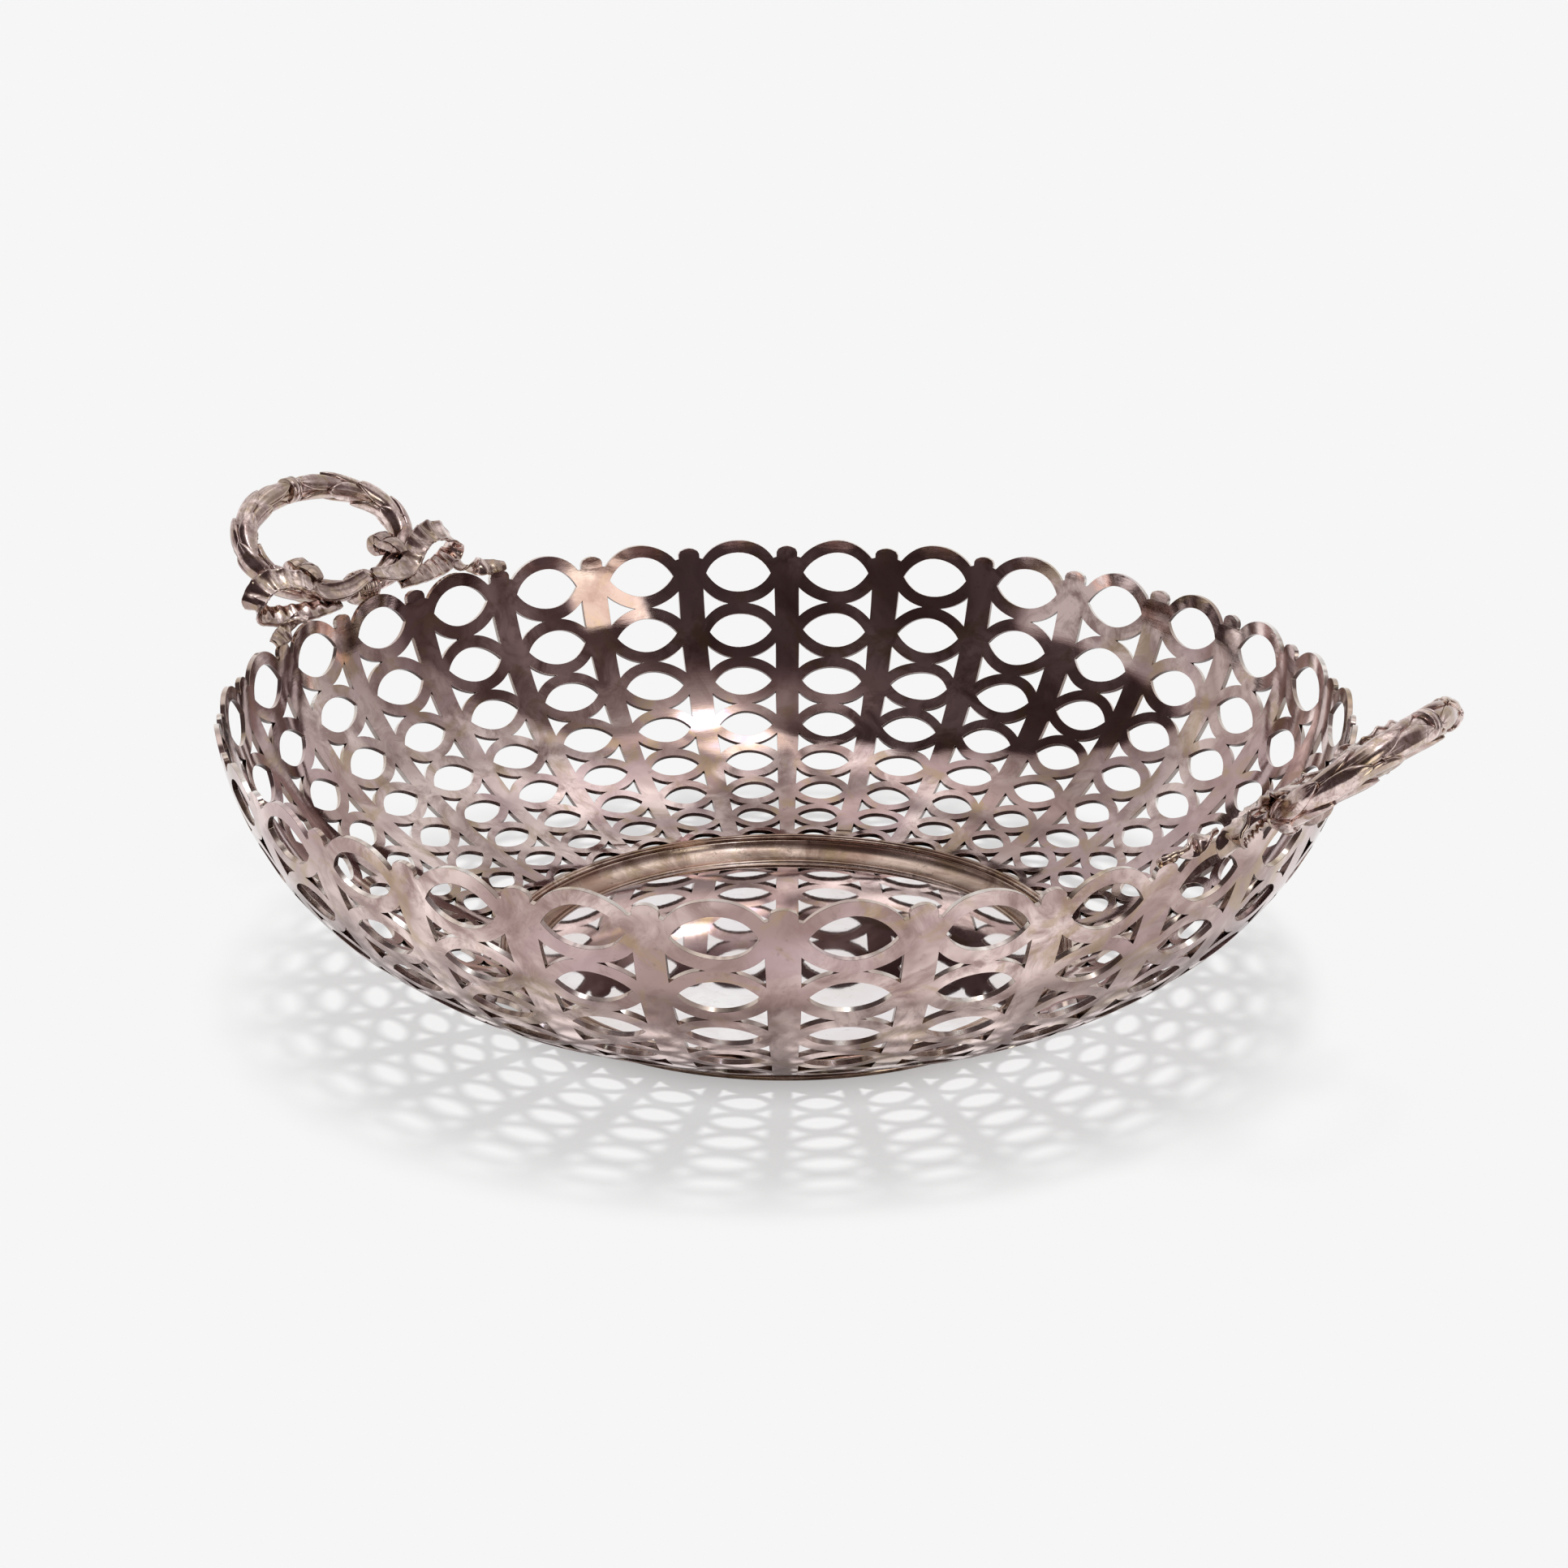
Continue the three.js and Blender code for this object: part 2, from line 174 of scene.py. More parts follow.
def halfRing(row, way):
    # Half of a ring and half of the bar beside it, above or below a row's middle, in millimetres.
    # Openings are two arcs, and rings are arcs round the same centres.
    pitch = pitchAt(rowMiddle(row))
    halfWidth = bowl["openingWidth"] / 2 * pitch
    halfHeight = bowl["openingHeight"] / 2 * rowHeight(row)
    radius = (halfWidth ** 2 + halfHeight ** 2) / (2 * halfHeight)
    centre = radius - halfHeight
    top = row == 0 and way < 0
    inner = almondArc(halfWidth, halfHeight + top * bowl["topOpening"], halfWidth)
    joint = rowHeight(row) / 2
    half = pitch / 2
    edge = (0.5 - bowl["barShare"] / 2) * pitch
    if top:
        ringRadius = rowMiddle(0) + centre + bowl["archRise"]
        notch = edge - bowl["notch"] * pitch
        foot = math.sqrt(ringRadius ** 2 - notch ** 2) - centre
        rise = rowMiddle(0) + bowl["archRise"] + bowl["topRise"] - foot
        outer = almondArc(notch, rise, notch) + [0, foot]
    else:
        neck = bowl["neck"] * pitch
        ringRadius = math.hypot(neck, joint + centre)
        neckLine = np.linspace(0, neck, bowl["neckSteps"] + 1)[:-1]
        ends = [math.asin(neck / ringRadius), math.asin(edge / ringRadius)]
        turn = np.linspace(*ends, bowl["ringSteps"] + 1 - bowl["neckSteps"])
        curve = np.column_stack([ringRadius * np.sin(turn), ringRadius * np.cos(turn) - centre])
        outer = np.vstack([np.column_stack([neckLine, np.full(len(neckLine), joint)]), curve])
    ring = spread(inner, outer, bowl["bandSteps"])
    side = ring[:, -1]
    corner = side[-1]
    middleLine = np.column_stack([np.full(len(side), half), np.linspace(0, corner[1], len(side))])
    patches = [ring, spread(side, middleLine, bowl["barSteps"])]
    if top:
        barWidth = bowl["barShare"] * pitch
        tip = rowMiddle(0)
        reach, drop = np.array(bowl["headReach"]), np.array(bowl["headDrop"])
        head = np.vstack([corner, np.column_stack([half - reach * barWidth, tip - drop])])
        spine = np.column_stack([np.full(len(head), half), np.linspace(corner[1], tip, len(head))])
        patches.append(spread(head, spine, bowl["barSteps"]))
    else:
        rise = np.linspace(corner[1], joint, bowl["jointSteps"] + 1)
        left, right = (np.column_stack([np.full(len(rise), x), rise]) for x in (edge, half))
        patches.append(spread(left, right, bowl["barSteps"]))
    return [patch * [1 / pitch, way] + [0, rowMiddle(row)] for patch in patches]


def gridFaces(rows, columns, closed=False):
    # The corners of every cell of a grid, whose rows may close on themselves.
    i = np.arange(rows - 1)[:, None] * columns
    j = np.arange(columns if closed else columns - 1)[None]
    k = (j + 1) % columns
    return np.stack([i + j, i + k, i + columns + k, i + columns + j], axis=2).reshape(-1, 4)


def bowlNet():
    # All points of the sawn sheet, as distance round in bars and length down, and their cells.
    # Each patch is turned to face outwards, and points that round to the same place are one.
    patches = []
    for row in range(bowl["rows"]):
        for way in (-1, 1) if row < bowl["rows"] - 1 else (-1,):
            patches += halfRing(row, way)
    patches += [patch * [-1, 1] for patch in patches]
    points, cells, count = [], [], 0
    for patch in patches:
        quads = gridFaces(*patch.shape[:2])
        flat = patch.reshape(-1, 2)
        u = flat[quads[:, 1]] - flat[quads[:, 0]]
        v = flat[quads[:, 3]] - flat[quads[:, 0]]
        if np.mean(u[:, 0] * v[:, 1] - u[:, 1] * v[:, 0]) > 0:
            quads = quads[:, ::-1]
        points.append(flat)
        cells.append(quads + count)
        count += len(flat)
    points, cells = np.vstack(points), np.vstack(cells)
    column = np.arange(bowl["bars"])
    everyPoint = (points[None] + np.column_stack([column, column * 0])[:, None]).reshape(-1, 2)
    everyCell = (cells[None] + column[:, None, None] * len(points)).reshape(-1, 4)
    fineness = np.array([20000, 2000])
    key = np.round(everyPoint * fineness).astype(np.int64)
    key[:, 0] %= bowl["bars"] * fineness[0]
    first, place = np.unique(key, axis=0, return_index=True, return_inverse=True)[1:]
    return everyPoint[first], place.ravel()[everyCell]


def waves(around, down, seed, fewest, most, steepest):
    # A sum of sine waves that closes round the bowl, with a mean square of one half.
    rng = np.random.default_rng(seed)
    total = np.zeros(len(down))
    for _ in range(bowl["waveCount"]):
        turns = rng.integers(fewest, most)
        phase = rng.uniform(0, 2 * math.pi)
        slope = rng.uniform(-steepest, steepest)
        total += np.sin(2 * math.pi * turns * around / bowl["bars"] + slope * down + phase)
    return total / math.sqrt(bowl["waveCount"])


def meshPiece(name, points, faces, materials, nodes, which=None):
    # Makes a mesh object from points in millimetres and rides it on the basket's one body.
    mesh = bpy.data.meshes.new(name)
    mesh.from_pydata(np.asarray(points) * mm, [], faces)
    mesh.update()
    mesh.polygons.foreach_set("use_smooth", np.ones(len(mesh.polygons), bool))
    for material in materials:
        mesh.materials.append(material)
    if which is not None:
        mesh.polygons.foreach_set("material_index", which)
    piece = placed(name, mesh)
    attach(piece, "root")
    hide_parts(*nodes)
    return piece


def piercedBowl(sheetFinish, edgeFinish):
    # The net is bent round the bowl twice, once for each face of the sheet. Every cut edge is
    # closed between the two, and waves move the cuts and the sheet a little.
    net, cells = bowlNet()
    across, down = net[:, 0], net[:, 1]
    pitch = 2 * math.pi * wallSection(down, 0)[0] / bowl["bars"]
    calm = step(wallEnd - down, 0, bowl["calmFeet"])
    calmTips = step(down, 0, bowl["calmTips"])
    saw = bowl["sawWobble"] * calm
    seeds = bowl["seeds"]
    movedAcross = across + saw * waves(across, down, seeds[0], *bowl["sawWaves"]) / pitch
    movedDown = down + saw * calmTips * waves(across, down, seeds[1], *bowl["sawWaves"])
    dent = bowl["hammerWobble"] * calm * waves(across, down, seeds[2], *bowl["hammerWaves"])
    angle = 2 * math.pi * movedAcross / bowl["bars"]
    skins = []
    for inset in (0, bowl["sheet"]):
        radius, height = wallSection(movedDown, inset + dent)
        skins.append(np.column_stack([radius * np.cos(angle), radius * np.sin(angle), height]))
    count = len(net)
    edges = np.vstack([cells[:, [i, (i + 1) % 4]] for i in range(4)])
    forth = edges[:, 0].astype(np.int64) * count + edges[:, 1]
    back = edges[:, 1].astype(np.int64) * count + edges[:, 0]
    a, b = edges[~np.isin(forth, back)].T
    sides = np.column_stack([a, a + count, b + count, b])
    faces = np.vstack([cells, cells[:, ::-1] + count, sides]).tolist()
    which = np.repeat([0, 1], [2 * len(cells), len(sides)])
    piece = meshPiece("pierced_bowl", np.vstack(skins), faces, [sheetFinish, edgeFinish],
                      ["pierced_wall"], which)
    bevel = piece.modifiers.new("edges", "BEVEL")
    bevel.width = bowl["edgeRound"] * mm
    bevel.segments = 1
    bevel.limit_method = "ANGLE"
    bevel.angle_limit = bowl["edgeAngle"]
    bevel.harden_normals = True


# Silver

def link(tree, start, end):
    tree.links.new(start, end)


def nodeOf(tree, kind, inputs, **settings):
    # A new node, with a fixed value or another node's output on each of these inputs.
    made = tree.nodes.new("ShaderNode" + kind)
    for key, setting in settings.items():
        setattr(made, key, setting)
    for key, given in inputs.items():
        if isinstance(given, bpy.types.NodeSocket):
            link(tree, given, made.inputs[key])
        else:
            made.inputs[key].default_value = given
    return made


def noiseOf(tree, place, scale, detail, roughness, distortion=0.0):
    # A noise over a place, by its waves to a metre.
    return nodeOf(tree, "TexNoise", {
        "Vector": place, "Scale": scale, "Detail": detail, "Roughness": roughness,
        "Distortion": distortion,
    }).outputs["Fac"]


def ranged(tree, value, low, high, start, end):
    # A value's part between low and high, spread from start to end.
    return nodeOf(tree, "MapRange", {
        "Value": value, "From Min": low, "From Max": high, "To Min": start, "To Max": end,
    }).outputs["Result"]


def mixed(tree, share, first, second):
    # One colour over another by a share; each is a fixed colour or another node's.
    a, b = ((*tone, 1) if isinstance(tone, tuple) else tone for tone in (first, second))
    inputs = {"Factor": share, "A": a, "B": b}
    return nodeOf(tree, "Mix", inputs, data_type="RGBA").outputs["Result"]


clouds = (  # colour, scale by the finish's own, detail, roughness, distortion and span of a noise
    ("dull", 1.0, 4, 0.55, 0.6, 0.42, 0.6),
    ("dull", 4.2, 6, 0.65, 0.9, 0.37, 0.56),
    ("tint", 1.7, 3, 0.5, 0.4, 0.5, 0.66),
    ("blotch", 2.6, 5, 0.6, 1.2, 0.54, 0.64),
)
grain = {
    "tints": 0.75,  # largest share of the tint
    "specks": (420, 5, 0.65),  # scale, detail and roughness
    "speckSpan": (0.6, 0.72),
    "scratches": (90, 6, 0.7),
    "scratchSpan": (0.35, 0.7),
    "rubbed": (0.7, 1.7),  # of the finish's roughness, between the scratches and in them
    "underShadeSpan": (-0.2, 0.3),  # how far a face looks up where the painted shade of downward faces ends
    "swellDepth": 0.001,
    "scratchDepth": 0.0001,
    "acrossGrooves": 0.25,  # turns the stretched highlight across the lathe's marks
}


def silver(name, look):
    # Silver whose tarnish lies in clouds. Wide clouds mix the bright tone with the dull one, finer
    # ones do it again, a third set tints it, a fourth leaves golden blotches, small ones spot it,
    # faces that look down may be darkened with painted shade, and drawn-out noises scratch it and
    # lift the surface.
    material, tree = newMaterial(name)
    shader = tree.nodes["Principled BSDF"]
    shader.inputs["Metallic"].default_value = 1.0
    place = tree.nodes.new("ShaderNodeTexCoord").outputs["Object"]
    tone = look["bright"]
    shares = {
        "dull": (look["dullness"], 0), "tint": (0, grain["tints"]), "blotch": (0, look["blotches"]),
    }
    for colour, scale, *kind, start, end in clouds:
        noise = noiseOf(tree, place, look["cloudScale"] * scale, *kind)
        tone = mixed(tree, ranged(tree, noise, start, end, *shares[colour]), tone, look[colour])
    specks = noiseOf(tree, place, *grain["specks"])
    spotted = ranged(tree, specks, *grain["speckSpan"], 0, look["stains"])
    tone = mixed(tree, spotted, tone, look["stain"])
    # Painted shade: faces that look downwards are darkened towards the under tone.
    if "under" in look:
        normal = tree.nodes.new("ShaderNodeNewGeometry").outputs["Normal"]
        facing = nodeOf(tree, "SeparateXYZ", {0: normal}).outputs["Z"]
        lower = ranged(tree, facing, *grain["underShadeSpan"], 1, 0)
        tone = mixed(tree, lower, tone, look["under"])
    link(tree, tone, shader.inputs["Base Color"])
    if "turned" in look:
        shader.inputs["Anisotropic"].default_value = look["turned"]
        shader.inputs["Anisotropic Rotation"].default_value = grain["acrossGrooves"]
        grooves = nodeOf(tree, "Tangent", {}, direction_type="RADIAL", axis="Z")
        link(tree, grooves.outputs["Tangent"], shader.inputs["Tangent"])
    drawn = nodeOf(tree, "Mapping", {"Vector": place, "Scale": look["drawn"]}).outputs["Vector"]
    scratches = noiseOf(tree, drawn, *grain["scratches"])
    least, rough = (look["gloss"] * share for share in grain["rubbed"])
    rubbed = ranged(tree, scratches, *grain["scratchSpan"], least, rough)
    link(tree, rubbed, shader.inputs["Roughness"])
    swell = noiseOf(tree, place, look["swellScale"], 2, 0.5)
    wide = nodeOf(tree, "Bump", {
        "Height": swell, "Strength": look["swell"], "Distance": grain["swellDepth"],
    }).outputs["Normal"]
    fine = nodeOf(tree, "Bump", {
        "Height": scratches, "Strength": look["scratch"], "Distance": grain["scratchDepth"],
        "Normal": wide,
    }).outputs["Normal"]
    link(tree, fine, shader.inputs["Normal"])
    return material


plain = {
    "bright": (0.96, 0.775, 0.735),
    "dull": (0.3, 0.19, 0.175),
    "dullness": 0.84,
    "tint": (0.52, 0.37, 0.38),
    "blotch": (0.42, 0.3, 0.16),
    "blotches": 0.55,
    "stain": (0.12, 0.08, 0.07),
    "stains": 0.3,
    "cloudScale": 24,
    "gloss": 0.05,  # the surface's roughness
    "drawn": (1, 1, 7),
    "scratch": 0.1,
    "swellScale": 60,
    "swell": 0.06,
}
golden = {
    "bright": (0.86, 0.68, 0.58), "dull": (0.22, 0.13, 0.09), "tint": (0.44, 0.27, 0.2),
    "stains": 0.6,
}
cast = {
    "cloudScale": 90, "swellScale": 260, "swell": 0.12, "drawn": (1, 1, 1), "dullness": 0.75,
}
finishes = {
    "wall": silver("rosySilver", plain),
    "edge": silver("sawnEdge", plain | {
        # the under tone is painted shade on the sawn edges' downward faces
        "bright": (0.97, 0.92, 0.88), "dull": (0.6, 0.47, 0.4), "under": (0.08, 0.05, 0.045),
        "gloss": 0.14,
    }),
    "floor": silver("mirrorSilver", plain | {
        "bright": (0.93, 0.9, 0.9), "dull": (0.8, 0.74, 0.73), "tint": (0.85, 0.8, 0.82),
        "blotches": 0.0, "stains": 0.15, "gloss": 0.02, "swell": 0.01, "scratch": 0.03,
    }),
    "dish": silver("coveSilver", plain | golden | {
        "bright": (0.86, 0.67, 0.57), "dull": (0.24, 0.14, 0.1), "dullness": 0.66,
        "gloss": 0.19, "swell": 0.01, "drawn": (1, 1, 12), "turned": 0.9,
    }),
    "base": silver("goldenSilver", plain | golden | {"gloss": 0.08, "cloudScale": 40}),
    "wreath": silver("castSilver", plain | cast | {"tint": (0.56, 0.44, 0.34), "gloss": 0.17}),
    "ribbon": silver("ribbonSilver", plain | cast | {
        "dull": (0.22, 0.14, 0.12), "tint": (0.54, 0.42, 0.32), "gloss": 0.11,
    }),
}
print("finishes mixed")

piercedBowl(finishes["wall"], finishes["edge"])
print("bowl sawn")

# Base

base = {
    "footHeight": 1.2,
    "footWidth": 3.0,
    "footInset": 0.4,  # from the crest's inner side
    "footEdge": 0.3,
    "dishSheet": 1.2,
    "wellDepth": 4.6,  # from the crest down to the floor
    "coveWidth": 6.6,
    "coveDrop": 1.2,  # from the crest down to the cove's border
    "lip": 0.85,
    "bead": 0.55,
    "floorRings": 9,
    "crestWidth": 2.0,
    "outerReed": 0.55,
    "innerReed": 0.45,
    "innerReedDrop": 0.75,
    "ledgeReach": 2.6,
    "ledgeThickness": 1.0,
    "ledgeGap": 0.42,
    "turns": 180,
}
dishUnder = base["footHeight"] + sheetGap
floorHeight = dishUnder + base["dishSheet"]
crestHeight = floorHeight + base["wellDepth"]
crestOuter = float(wallSection(wallEnd, bowl["sheet"])[0]) - sheetGap
crestInner = crestOuter - base["crestWidth"]


def turned(name, profile, materials, nodes, which=None):
    # A closed profile of radius and height, carried round the Z axis, where it meets in single
    # points. Each step of the profile may have its own one of the materials.
    profile = np.asarray(profile, float)
    size, turns = len(profile), base["turns"]
    angle = evenTurns(turns)[:, None]
    radius, height = profile.T
    points = np.stack([radius * np.cos(angle), radius * np.sin(angle), height + 0 * angle], axis=2)
    onAxis = radius < 1e-6
    index = np.arange(turns * size).reshape(turns, size)
    index[:, onAxis] = index[0, onAxis]
    follow = np.roll(index, -1, axis=0)
    steps = size - 1 if onAxis.any() else size
    i = np.arange(steps)
    j = (i + 1) % size
    cells = np.stack([index[:, i], follow[:, i], follow[:, j], index[:, j]], axis=2)
    used, faces = np.unique(cells, return_inverse=True)
    faces = [list(dict.fromkeys(face)) for face in faces.reshape(-1, 4).tolist()]
    if which is not None:
        which = np.tile(which[:steps], turns)
    meshPiece(name, points.reshape(-1, 3)[used], faces, materials, nodes, which)


def arc(centre, radius, start, end, steps):
    # Points on a circle of the section, between two angles in degrees.
    turn = np.radians(np.linspace(start, end, steps + 1))
    return list(zip(centre[0] + radius * np.cos(turn), centre[1] + radius * np.sin(turn)))


def dishProfile():
    # A flat floor, a small round bead at its border, and a cove that rises to the reeds as a
    # quarter of an ellipse. The underside is flat.
    coveTop = crestHeight - base["coveDrop"]
    bead = arc((crestInner - base["coveWidth"], floorHeight), base["bead"], 180, 25, 8)
    inner, low = bead[-1]
    wide, rise = crestInner - 0.1 - inner, coveTop - low
    turn = np.radians(np.linspace(0, 90, 10))[1:]
    cove = [(inner + wide * math.sin(t), low + rise * (1 - math.cos(t))) for t in turn]
    outside = [
        (crestInner + base["lip"], coveTop), (crestInner + 0.2, dishUnder + 0.5),
        (crestInner - 0.4, dishUnder),
    ]
    flat = [(r, floorHeight) for r in np.linspace(0, bead[0][0] - 0.1, base["floorRings"])]
    under = [(r, dishUnder) for r in np.linspace(crestInner - 6, 0, 5)]
    return flat + bead + cove + outside + under


def collarProfile():
    # Two round reeds on a crest, and a ledge that runs out under the wall.
    inner = crestInner + base["lip"] + sheetGap
    ledgeTop = float(wallSection(wallEnd, -base["ledgeGap"])[1])
    end, endTop = map(float, wallSection(wallEnd - base["ledgeReach"], -base["ledgeGap"]))
    outerReed, innerReed = base["outerReed"], base["innerReed"]
    return [
        (inner, crestHeight - 1.1),
        (inner, ledgeTop - base["ledgeThickness"]),
        (end, endTop - base["ledgeThickness"]),
        (end, endTop),
        (crestOuter, ledgeTop),
        *arc((crestOuter - outerReed, crestHeight - outerReed), outerReed, 0, 175, 8),
        *arc((crestInner + 0.5, crestHeight - base["innerReedDrop"]), innerReed, 10, 190, 8),
        (crestInner + 0.05, crestHeight - 1.05),
    ]


def footProfile():
    # A flat ring with its outer edges eased.
    outer = crestInner - base["footInset"]
    inner = outer - base["footWidth"]
    top, edge = base["footHeight"], base["footEdge"]
    return [
        (inner, 0), (outer - edge, 0), (outer - 0.3 * edge, 0.3 * edge), (outer, edge),
        (outer, top - edge / 2), (outer - edge / 2, top), (inner, top),
    ]


profile = dishProfile()
which = np.where(np.arange(len(profile)) < base["floorRings"], 1, 0)
turned("dish_plate", profile, [finishes["dish"], finishes["floor"]], ["dish"], which)
turned("reeded_ring", collarProfile(), [finishes["base"]], ["reeded_collar"])
turned("foot", footProfile(), [finishes["base"]], ["foot_ring"])
print("base turned")

# Wreath handles

wreath = {
    "tilt": math.radians(42.4),
    "halfWidth": 25.6,  # along the rim, to the middle of the tube
    "halfLength": 16.1,
    "out": 4.2,  # middle of the tube outside the tips of the bars
    "up": 3.1,
    "radius": 3.36,  # over the tips of the leaves
    "core": 2.5,
    "swollen": 0.45,  # how much thicker the branches are away from the ring's far end
    "slimEnd": (3, 9),  # where that begins, from the far end, and how long it takes
    "firstLeaf": 3.6,
    "whorls": 6,
    "leavesRound": 3,
    "overlap": 1.8,  # of a leaf's length over the step from whorl to whorl
    "berry": 0.5,
    "berrySunk": 0.7,  # of its radius, under the leaves' tips
    "berryAt": 0.9,  # past its leaf's root
    "berryApart": 0.17,  # half the angle between a pair
    "coreRings": 60,
    "coreTurns": 12,
    "inside": 1.5,  # radius where the band and the tie end within the tube
    "bandLength": 3.0,
    "bandOver": 0.03,  # over the leaves
    "bandBorder": ((-0.15, 0), (0, 0.12), (0, 0.4), (-0.22, 0.5), (-0.03, 0.62)),  # from its edge
    "knotLength": 7.0,
    "knotPull": 0.16,  # how much its ends are drawn in
    "knotFolds": 5,
    "knotFold": 0.22,
}
blade = {  # one leaf: its breadth along it, its relief across it and its rise along it
    "along": (0, 0.2, 0.4, 0.52, 0.62, 0.7, 0.78, 0.85, 0.91, 0.96, 1.0),
    "breadth": (0.6, 0.85, 0.98, 1.0, 0.95, 0.86, 0.73, 0.56, 0.39, 0.22, 0.04),
    "across": (-1, -0.93, -0.76, -0.45, -0.14, 0, 0.14, 0.45, 0.76, 0.93, 1),
    "relief": (-0.85, -0.4, -0.1, 0.05, 0.0, -0.22, 0.0, 0.05, -0.1, -0.4, -0.85),
    "riseAt": (0, 0.3, 0.6, 0.78, 0.92, 1),
    "rise": (0, 0.22, 0.7, 0.94, 1, 0.88),
    "root": 0.2,  # over the core
    "sunk": 0.25,  # under the core's surface
    "flatter": 0.35,  # how much of the relief is gone at the point
    "breadths": (0.97, 1.06),  # from leaf to leaf, as the next two
    "leans": 0.06,
    "slips": 0.015,
}
tiltCos, tiltSin = math.cos(wreath["tilt"]), math.sin(wreath["tilt"])
knotRadius = math.hypot(wreath["out"], (wreath["up"] - bowl["archRise"])) - sheetGap


def onBasket(points, side):
    # Turns points from a wreath's own plane into the basket's frame, on the right or on the left.
    x, y, z = np.asarray(points, float).T
    out = x * tiltCos - z * tiltSin + bowl["rimRadius"] + wreath["out"]
    height = x * tiltSin + z * tiltCos + tipHeight + wreath["up"]
    return np.column_stack([side * out, side * y, height])


def handlePiece(side, name, node, body, metal):
    # One body of points and faces on the right or the left handle, under that side's names.
    points, faces = body
    hand = "right" if side > 0 else "left"
    meshPiece(f"{hand}_{name}", onBasket(points, side), faces, [finishes[metal]],
              [f"{hand}_{node}"])


def joined(parts):
    # Puts several bodies of points and faces into one list each.
    points, faces, count = [], [], 0
    for some, cells in parts:
        points.append(some)
        faces += [[corner + count for corner in cell] for cell in cells]
        count += len(some)
    return np.vstack(points), faces


def tube(rings):
    # Closes a stack of rings of points into a body with a flat end on each. The sum of the
    # pyramids under its faces is positive when they point outwards, and they are turned if not.
    rows, columns = rings.shape[:2]
    points = rings.reshape(-1, 3)
    cells = gridFaces(rows, columns, closed=True)
    a, b, c, d = (points[cells[:, k]] for k in range(4))
    volume = np.sum(a * np.cross(b, c)) + np.sum(a * np.cross(c, d))
    for ring, way in ((rings[0], -1), (rings[-1], 1)):
        volume += way * np.sum(ring[0] * np.cross(ring[1:-1], ring[2:]).sum(axis=0))
    ends = [list(range(columns))[::-1], list(range((rows - 1) * columns, rows * columns))]
    faces = cells.tolist() + ends
    return points, faces if volume > 0 else [face[::-1] for face in faces]


def ellipseRun():
    # Angles along half of the wreath's ellipse, and the distance from the tie at each.
    turn = np.linspace(0, math.pi, 2001)
    pace = np.hypot(wreath["halfLength"] * np.sin(turn), wreath["halfWidth"] * np.cos(turn))
    return turn, runOf(pace, turn)


wreathLength = float(ellipseRun()[1][-1])


def besideLine(length, turn, radius, branch):
    # A point so far along the wreath's middle line, at this angle round it and this far off. The
    # line is an ellipse in the plane z = 0, and the angle counts from its outer side upwards.
    angles, run = ellipseRun()
    at = np.interp(length, run, angles)
    c, s = np.cos(at), np.sin(at)
    halfLength, halfWidth = wreath["halfLength"], wreath["halfWidth"]
    place = np.stack([halfLength * (1 - c), branch * halfWidth * s, 0 * at], axis=-1)
    ahead = np.stack([halfLength * s, branch * halfWidth * c, 0 * at], axis=-1)
    ahead /= np.linalg.norm(ahead, axis=-1, keepdims=True)
    away = np.stack([-ahead[..., 1], ahead[..., 0], 0 * at], axis=-1) * branch
    up = np.array([0.0, 0.0, 1.0])
    outward, upward = radius * np.cos(turn), radius * np.sin(turn)
    return place + outward[..., None] * away + upward[..., None] * up


def laurelLeaf(start, size, turn, branch, seed):
    # A long pointed leaf bent round the tube. It is full in the middle on both sides of a fine
    # groove and falls away to its border, and its point lifts over the next leaves.
    rng = np.random.default_rng(seed)
    u, v = np.meshgrid(blade["along"], blade["across"], indexing="ij")
    breadth = np.array(blade["breadth"])[:, None] * math.pi / wreath["leavesRound"]
    share = breadth * rng.uniform(*blade["breadths"])
    lean = rng.uniform(-blade["leans"], blade["leans"])
    slim = step(wreathLength - start - size * u, *wreath["slimEnd"])
    full = wreath["radius"] + wreath["swollen"] * slim
    root = wreath["core"] + blade["root"]
    rise = np.interp(u, blade["riseAt"], blade["rise"])
    relief = np.array(blade["relief"]) * (1 - blade["flatter"] * u)
    radius = np.minimum(root + (full - root) * rise + relief, full)
    length = start + size * (u + blade["slips"] * rng.uniform(-1, 1))
    angle = turn + lean * u + v * share
    top = besideLine(length, angle, radius, branch)
    sunk = np.full((len(u), 2), wreath["core"] - blade["sunk"])
    low = besideLine(length[:, [0, -1]], angle[:, [0, -1]], sunk, branch)
    return tube(np.concatenate([top, low[:, ::-1]], axis=1))


def ball(centre, radius, turns=8, rows=6, pole=0.12):
    # A sphere as rings of points between two poles that are small rings themselves.
    polar = np.linspace(pole, math.pi - pole, rows)[:, None]
    turn = evenTurns(turns)
    x, y, z = np.sin(polar) * np.cos(turn), np.sin(polar) * np.sin(turn), np.cos(polar) + 0 * turn
    return tube(centre + radius * np.stack([x, y, z], axis=2))


